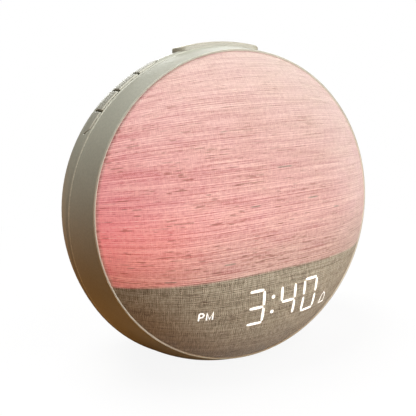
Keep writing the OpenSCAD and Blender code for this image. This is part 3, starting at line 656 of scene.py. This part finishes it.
def build_front():
    """The oblique flare from the leaning rim to the upright seam, hollow, with a flat underside."""
    bm = bmesh.new()
    outside = bm.verts.layers.float.new("outside")
    rings = []
    for matrix, r, y, side in front_circles():
        angles = [2 * math.pi * k / FLARE_TURNS for k in range(FLARE_TURNS)]
        ring = [bm.verts.new(round_point(matrix, r, y, a)) for a in angles]
        for vert in ring:
            vert[outside] = side
        rings.append(ring)
    for here, after in zip(rings, rings[1:] + rings[:1]):
        bridge(bm, here, after)
    for floor in (-BASE_CUT, WALL - BASE_CUT):
        cut(bm, (0, 0, floor), (0, 0, 1))
    for vert in bm.verts:
        vert.co.z = max(vert.co.z, -BASE_CUT if vert[outside] > 0.5 else WALL - BASE_CUT)
    bmesh.ops.dissolve_degenerate(bm, dist=1e-7, edges=bm.edges)
    bmesh.ops.recalc_face_normals(bm, faces=bm.faces)
    mesh = mesh_from(bm, "front_flare", 28)
    item = add_object("front_flare", mesh, finishes["housing"], HOUSING)
    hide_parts("front_ring")


build_front()

# ------------------------------------------------------------ key and button caps
CROWN_STEPS = 7       # rings from the edge of a cap to its middle


def arcs_outline(arcs, inset, turn_steps=10):
    """Convex outline of tangent arcs (centre x, centre y, radius, first angle, last angle), moved inwards."""
    points = []
    for cx, cy, r, a0, a1 in arcs:
        count = max(2, round(turn_steps * abs(a1 - a0) / 90))
        for k in range(count + 1):
            a = math.radians(a0 + (a1 - a0) * k / count)
            points.append((cx + (r - inset) * math.cos(a), cy + (r - inset) * math.sin(a)))
    return points


def disc_outline(cx, cy, r, count=20):
    angles = [2 * math.pi * k / count for k in range(count)]
    return [(cx + r * math.cos(a), cy + r * math.sin(a)) for a in angles]


def pill_arcs(length, width):
    r = width / 2
    c = length / 2 - r
    return [(c, 0, r, -90, 90), (-c, 0, r, 90, 270)]


def button_arcs(length, width, round_end):
    """Rounded rectangle. An end button (round_end 1 or -1) is a half round at its outer end."""
    r, corner = width / 2, 0.55 * MM
    x, y = length / 2 - corner, r - corner
    left = [(-x, y, corner, 90, 180), (-x, -y, corner, 180, 270)]
    right = [(x, -y, corner, 270, 360), (x, y, corner, 0, 90)]
    if round_end > 0:
        right = [(length / 2 - r, 0, r, -90, 90)]
    if round_end < 0:
        left = [(r - length / 2, 0, r, 90, 270)]
    return right + left


def split_sides(points, longest):
    """Adds points to the long straight sides, so that they can follow an arch."""
    out = []
    for here, after in zip(points, points[1:] + points[:1]):
        count = max(1, math.ceil(math.dist(here, after) / longest))
        out += [(here[0] + (after[0] - here[0]) * k / count, here[1] + (after[1] - here[1]) * k / count)
                for k in range(count)]
    return out


def cap_mesh(bm, arcs, crown, low, edge):
    """A cap with a rounded upper edge: walls from the height low, then the edge, then the crown, whose
    height is a function of the place."""
    rings = []
    turns = [math.radians(a) for a in range(0, 91, 15)]
    levels = [(0.0, None)] + [(edge * (1 - math.cos(t)), edge * (1 - math.sin(t))) for t in turns]
    for inset, drop in levels:
        outline = split_sides(arcs_outline(arcs, inset), 1.0 * MM)
        rings.append([bm.verts.new((x, y, low if drop is None else crown(x, y) - drop)) for x, y in outline])
    outline = [(v.co.x, v.co.y) for v in rings[-1]]
    for k in range(1, CROWN_STEPS):
        f = 1 - k / CROWN_STEPS
        rings.append([bm.verts.new((x * f, y * f, crown(x * f, y * f))) for x, y in outline])
    for lower, upper in zip(rings, rings[1:]):
        bridge(bm, lower, upper)
    fan(bm, rings[-1], bm.verts.new((0, 0, crown(0, 0))))
    bm.faces.new(list(reversed(rings[0])))


def slab(bm, points, z0, z1):
    low = [bm.verts.new((x, y, z0)) for x, y in points]
    high = [bm.verts.new((x, y, z1)) for x, y in points]
    bridge(bm, low, high)
    bm.faces.new(list(reversed(low)))
    bm.faces.new(high)


def finish_cap(bm, name, material, body, matrix):
    bmesh.ops.recalc_face_normals(bm, faces=bm.faces)
    item = add_object(name, mesh_from(bm, name, 40), material, matrix, body)
    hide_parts(body)


def drum_r(y):
    """Radius of the housing at a depth behind the seam."""
    if y < RIDGE_Y:
        return SEAM_R + (RIDGE_R - SEAM_R) * (y - SEAM_Y) / (RIDGE_Y - SEAM_Y)
    t = min(1.0, (y - RIDGE_Y) / (BACK_Y - RIDGE_Y))
    return RIDGE_R - (RIDGE_R - BACK_FLAT_R) * (1 - math.sqrt(1 - t * t))


def build_key():
    """Arched pill with the flange that holds it and the stem that reaches its switch."""
    flange_top, flange_out, stem_low, stem_r = 82.0 * MM, 1.4 * MM, 76.0 * MM, 2.4 * MM
    pill = pill_arcs(KEY_LEN, KEY_W)
    bm = bmesh.new()

    def crown(x, y):
        return KEY_TOP - KEY_ARCH_R + math.sqrt(KEY_ARCH_R ** 2 - x * x)

    cap_mesh(bm, pill, crown, flange_top, 0.8 * MM)
    slab(bm, arcs_outline(pill, -flange_out), flange_top - FLANGE_T, flange_top)
    slab(bm, arcs_outline([(0, 0, stem_r, 0, 360)], 0)[:-1], stem_low, flange_top)
    finish_cap(bm, "key_cap", finishes["key_plastic"], "snooze_key",
               HOUSING @ Matrix.Translation((0, BUTTON_Y + KEY_W / 2, 0)))


def build_button(i):
    """One button of the slot, curved like the housing, with its flange and its stem."""
    flange_top, stem_low, stem_r = 85.2 * MM, 78.2 * MM, 1.6 * MM
    flange_x, flange_y = 4.6 * MM, 6.2 * MM
    middle = BUTTON_Y + BUTTON_W / 2
    round_end = {0: 1, BUTTON_COUNT - 1: -1}.get(i, 0)
    reach = math.radians(BUTTON_PITCH) * RIDGE_R - BUTTON_SPLIT + abs(round_end) * BUTTON_SPLIT / 2
    shift = round_end * BUTTON_SPLIT / 4
    arcs = [(cx + shift, *arc) for cx, *arc in button_arcs(reach, BUTTON_W, round_end)]

    def crown(x, y):
        return math.sqrt((drum_r(middle + y) + BUTTON_PROUD) ** 2 - x * x)

    bm = bmesh.new()
    cap_mesh(bm, arcs, crown, flange_top, 0.4 * MM)
    slab(bm, [(-flange_x, -flange_y), (flange_x, -flange_y), (flange_x, flange_y), (-flange_x, flange_y)],
         flange_top - FLANGE_T, flange_top)
    slab(bm, arcs_outline([(0, 0, stem_r, 0, 360)], 0)[:-1], stem_low, flange_top)
    angle = math.radians(90 - SLOT_FROM - BUTTON_PITCH * (i + 0.5))
    finish_cap(bm, f"button_cap_{i + 1}", button_finish, f"button_{i + 1}",
               HOUSING @ Matrix.Rotation(angle, 4, "Y") @ Matrix.Translation((0, middle, 0)))


build_key()
for i in range(BUTTON_COUNT):
    build_button(i)

# ------------------------------------------------------------ lit windows on the cloth
BARS_OF = {"3": "abcdg", "4": "bcfg", "0": "abcdef"}       # lit bars of each digit
LONGER = {"a": 0.9 * MM, "g": 0.9 * MM, "d": 1.6 * MM}     # the level bars are longer than the rest
DOT_R, DOT_Z = 1.0 * MM, 4.2 * MM                          # the colon's dots over and under its middle
LIGHT_RIM = 0.16 * MM                                      # the light fades over this rim
SIGN_H = 4.2 * MM                                          # letters of the afternoon sign
SIGN_PLACE = (-39.9 * MM, -47.5 * MM)
SIGN_STROKE, BELL_STROKE = 0.68 * MM, 0.62 * MM
BELL_PLACE, BELL_NARROW = (34.5 * MM, DIGIT_Z - 6 * MM), 0.82
BELL_SIDE = [(0.45, 3.0), (1.3, 2.4), (2.1, 0.6), (2.3, -2.2), (2.9, -3.0)]  # mm
BELL_TIP = (0, 3.7)


def corners_cut(points):
    """Outline with every corner cut off at a quarter of its sides."""
    return [(here[0] + (after[0] - here[0]) * share, here[1] + (after[1] - here[1]) * share)
            for here, after in zip(points, points[1:] + points[:1]) for share in (0.25, 0.75)]


def bar_outline(cx, cz, length, upright):
    """Outline of one lit bar: blunt rounded ends, counterclockwise in x and z."""
    half, tip = BAR_W / 2, length / 2
    blunt, shoulder = 0.25 * half, tip - 0.75 * half
    points = [(-tip, blunt), (-tip, -blunt), (-shoulder, -half), (shoulder, -half),
              (tip, -blunt), (tip, blunt), (shoulder, half), (-shoulder, half)]
    points = corners_cut(corners_cut(points))
    if upright:
        points = [(-z, x) for x, z in points]
    return [(cx + x, cz + z) for x, z in points]


def digit_bars(text, cx):
    """Outlines of the lit bars of one digit."""
    w, h = DIGIT_W - BAR_W, (DIGIT_H - BAR_W) / 2
    places = {"a": (0, h, False), "g": (0, 0, False), "d": (0, -h, False), "b": (w / 2, h / 2, True),
              "c": (w / 2, -h / 2, True), "f": (-w / 2, h / 2, True), "e": (-w / 2, -h / 2, True)}
    for bar in BARS_OF[text]:
        x, z, upright = places[bar]
        length = (h if upright else w) - BAR_GAP + LONGER.get(bar, 0.0)
        yield bar_outline(cx + x, DIGIT_Z + z, length, upright)


def grown(points, step):
    """Outline moved outwards along its own normals."""
    moved = []
    for before, here, after in zip(points[-1:] + points[:-1], points, points[1:] + points[:1]):
        tangent = Vector((after[0] - before[0], after[1] - before[1])).normalized()
        moved.append((here[0] + tangent.y * step, here[1] - tangent.x * step))
    return moved


class LitSheet:
    """Collects lit outlines and lays them on the cloth as one thin mesh."""

    def __init__(self):
        self.bm = bmesh.new()
        self.glow = self.bm.verts.layers.float.new("glow")

    def verts(self, points, glow):
        made = [self.bm.verts.new((p[0], 0, p[1])) for p in points]
        for vert in made:
            vert[self.glow] = glow
        return made

    def soft(self, points):
        """A filled outline whose light fades over a narrow rim."""
        rings = [self.verts(grown(points, LIGHT_RIM), 0.0), self.verts(grown(points, -0.02 * MM), 0.75),
                 self.verts(grown(points, -0.9 * LIGHT_RIM), 1.0)]
        for outer, inner in zip(rings, rings[1:]):
            bridge(self.bm, outer, inner)
        self.bm.faces.new(rings[-1])

    def stroke(self, path, width, closed=False):
        """A line of light of even width along a path."""
        count = len(path)
        sides = []
        for k, here in enumerate(path):
            before = path[(k - 1) % count] if closed or k else here
            after = path[(k + 1) % count] if closed or k < count - 1 else here
            along = Vector((after[0] - before[0], after[1] - before[1])).normalized()
            last = Vector((here[0] - before[0], here[1] - before[1]))
            miter = 1.0 if last.length == 0 else 1 / max(0.6, abs(last.normalized().dot(along)))
            out = Vector((-along.y, along.x)) * width / 2 * miter
            sides.append([(here[0] + out.x, here[1] + out.y), (here[0] - out.x, here[1] - out.y)])
        left = self.verts([side[0] for side in sides], 1.0)
        right = self.verts([side[1] for side in sides], 1.0)
        for k in range(count if closed else count - 1):
            n = (k + 1) % count
            self.bm.faces.new((left[k], left[n], right[n], right[k]))

    def cut_on_grid(self, pitch=0.9 * MM):
        """Cuts the faces into small ones, which can follow the dome."""
        for axis in (0, 2):
            values = [vert.co[axis] for vert in self.bm.verts]
            for k in range(int(min(values) / pitch), int(max(values) / pitch) + 1):
                place, normal = Vector((0, 0, 0)), Vector((0, 0, 0))
                place[axis], normal[axis] = k * pitch, 1
                cut(self.bm, place, normal)

    def laid(self, name, lift=0.04 * MM):
        """Lays the outlines on the dome, lifted a little, with their place in the flat cloth."""
        bm = self.bm
        self.cut_on_grid()
        layer = bm.loops.layers.uv.new("cloth")
        for vert in bm.verts:
            vert.co.y = dome_y(math.hypot(vert.co.x, vert.co.z)) - lift
        for face in bm.faces:
            for loop in face.loops:
                x, z = loop.vert.co.x, loop.vert.co.z
                d = math.hypot(x, z)
                loop[layer].uv = (x * along_cloth(d) / d, z * along_cloth(d) / d)
        bmesh.ops.recalc_face_normals(bm, faces=bm.faces)
        for face in bm.faces:
            if face.normal.y > 0:
                face.normal_flip()
        add_object(name, mesh_from(bm, name), lit_finish, FACE)


def letter_paths(x, z, h):
    """Strokes of the letters P and M, whose lower left corner and height are given."""
    level, middle = x + 0.275 * h, z + 0.73 * h
    angles = [math.radians(a) for a in range(20, 161, 20)]
    bowl = [(x, z + h), (level, z + h)]
    bowl += [(level + 0.24 * h * math.sin(a), middle + 0.27 * h * math.cos(a)) for a in angles]
    bowl += [(level, z + 0.46 * h), (x, z + 0.46 * h)]
    m, w = x + 0.86 * h, 0.68 * h
    return [[(x, z), (x, z + h)], bowl,
            [(m, z), (m, z + h), (m + w / 2, z + 0.12 * h), (m + w, z + h), (m + w, z)]]


def build_time():
    """The digits 3:40."""
    sheet = LitSheet()
    for text, x in (("3", -DIGIT_X1), ("4", DIGIT_X1), ("0", DIGIT_X2)):
        for outline in digit_bars(text, COLON_X + x):
            sheet.soft(outline)
    for z in (-DOT_Z, DOT_Z):
        sheet.soft(disc_outline(COLON_X, DIGIT_Z + z, DOT_R))
    sheet.laid("lit_time")


def build_signs():
    """The afternoon sign left of the time and the bell right of it."""
    sheet = LitSheet()
    for path in letter_paths(*SIGN_PLACE, SIGN_H):
        sheet.stroke(path, SIGN_STROKE)
    bell = [(-x, z) for x, z in reversed(BELL_SIDE)] + [BELL_TIP] + BELL_SIDE
    bell = [(BELL_PLACE[0] + BELL_NARROW * x * MM, BELL_PLACE[1] + z * MM) for x, z in bell]
    sheet.stroke(bell, BELL_STROKE, closed=True)
    sheet.laid("lit_signs", 0.05 * MM)


build_time()
build_signs()

# ------------------------------------------------------------ stage, lights and camera
WHITE = colour(1, 1, 1)
FLOOR_TONES = colour(0.80, 0.795, 0.785), colour(0.84, 0.835, 0.825)
FLOOR_BOUNCE = colour(0.29, 0.13, 0.035)
GROUND, SKY = colour(0.04, 0.03, 0.02), colour(0.10, 0.10, 0.10)
IMAGE_W = 416         # pixels
SENSOR_W = 36.0       # mm


def floor_finish():
    """Pale matt floor that fades to white away from the object, and throws warm light back at it."""
    look = Look("floor_pale")
    grain = look.noise(look.place, 30, 3)
    pale = look.mix(grain, *FLOOR_TONES)
    seen = look.add("ShaderNodeLightPath").outputs["Is Camera Ray"]
    look.set(Base_Color=look.mix(seen, FLOOR_BOUNCE, pale), Roughness=0.9, Specular_IOR_Level=0.1)
    haze = look.span(look.step(look.length(look.place), 0.08, 0.35), 0, 1, 0.9, 1)
    white = look.add("ShaderNodeEmission", {"Color": WHITE, "Strength": 1.0}).outputs[0]
    faded = look.add("ShaderNodeMixShader", {0: look.times(haze, seen), 1: look.shader.outputs[0], 2: white})
    out = next(node for node in look.tree.nodes if node.type == "OUTPUT_MATERIAL")
    look.put(out.inputs["Surface"], faded.outputs[0])
    return look.material


def build_floor():
    bm = bmesh.new()
    bmesh.ops.create_circle(bm, cap_ends=True, segments=96, radius=6.0)
    floor = bpy.data.objects.new("floor", mesh_from(bm, "floor"))
    bpy.context.scene.collection.objects.link(floor)
    floor.data.materials.append(floor_finish())


def build_world():
    """White for the camera. It lights the object as a dim grey sky over a dark, warm ground."""
    world = bpy.data.worlds.new("studio")
    bpy.context.scene.world = world
    world.use_nodes = True
    sky = Nodes(world.node_tree)
    height = sky.parts(sky.add("ShaderNodeTexCoord").outputs["Generated"])[2]
    light = sky.mix(sky.span(height, -0.15, 0.85, 0, 1), GROUND, SKY)
    seen = sky.add("ShaderNodeLightPath").outputs["Is Camera Ray"]
    background = sky.tree.nodes["Background"]
    sky.put(background.inputs["Color"], sky.mix(seen, light, WHITE))
    sky.put(background.inputs["Strength"], 1.0)


def area_light(name, place, target, size, power):
    data = bpy.data.lights.new(name, "AREA")
    data.shape, data.size, data.energy = "DISK", size, power
    lamp = bpy.data.objects.new(name, data)
    bpy.context.scene.collection.objects.link(lamp)
    lamp.location = place
    lamp.rotation_mode = "QUATERNION"
    lamp.rotation_quaternion = (Vector(target) - Vector(place)).to_track_quat("-Z", "Y")


def build_camera():
    """The photograph's viewing angle, solved in the face's frame: turned, raised, rolled, distance,
    focal length in pixels."""
    turned, raised, roll = 0.4589, 0.1725, -0.0695
    distance, focal = 3.5031 * FACE_R, 555.95
    target = Vector((-0.2754 * FACE_R, 0, 0.0439 * FACE_R))
    level = Vector((-math.sin(turned), -math.cos(turned), 0))
    back = math.cos(raised) * level + math.sin(raised) * Vector((0, 0, 1))
    right = Vector((math.cos(turned), -math.sin(turned), 0))
    up = back.cross(right)
    side = math.cos(roll) * right + math.sin(roll) * up
    top = -math.sin(roll) * right + math.cos(roll) * up
    data = bpy.data.cameras.new("photo_view")
    data.sensor_width = SENSOR_W
    data.lens = SENSOR_W * focal / IMAGE_W
    data.clip_start, data.clip_end = 0.01, 50
    camera = bpy.data.objects.new("photo_view", data)
    bpy.context.scene.collection.objects.link(camera)
    axes = Matrix((side, top, back)).transposed().to_4x4()
    camera.matrix_world = FACE @ Matrix.Translation(target + back * distance) @ axes
    bpy.context.scene.camera = camera


build_floor()
build_world()
area_light("key", (0.75, -0.45, 1.0), (0, 0, 0.1), 0.9, 7)
area_light("top", (-0.28, 0.2, 1.25), (0, 0, 0.1), 0.9, 16)
area_light("front", (0.6, -1.25, 0.35), (0, 0, 0.08), 0.8, 17.5)
area_light("rear", (0.4, 1.3, 0.5), (0, 0, 0.08), 0.8, 8)
build_camera()
bpy.context.scene.view_settings.view_transform = "Standard"
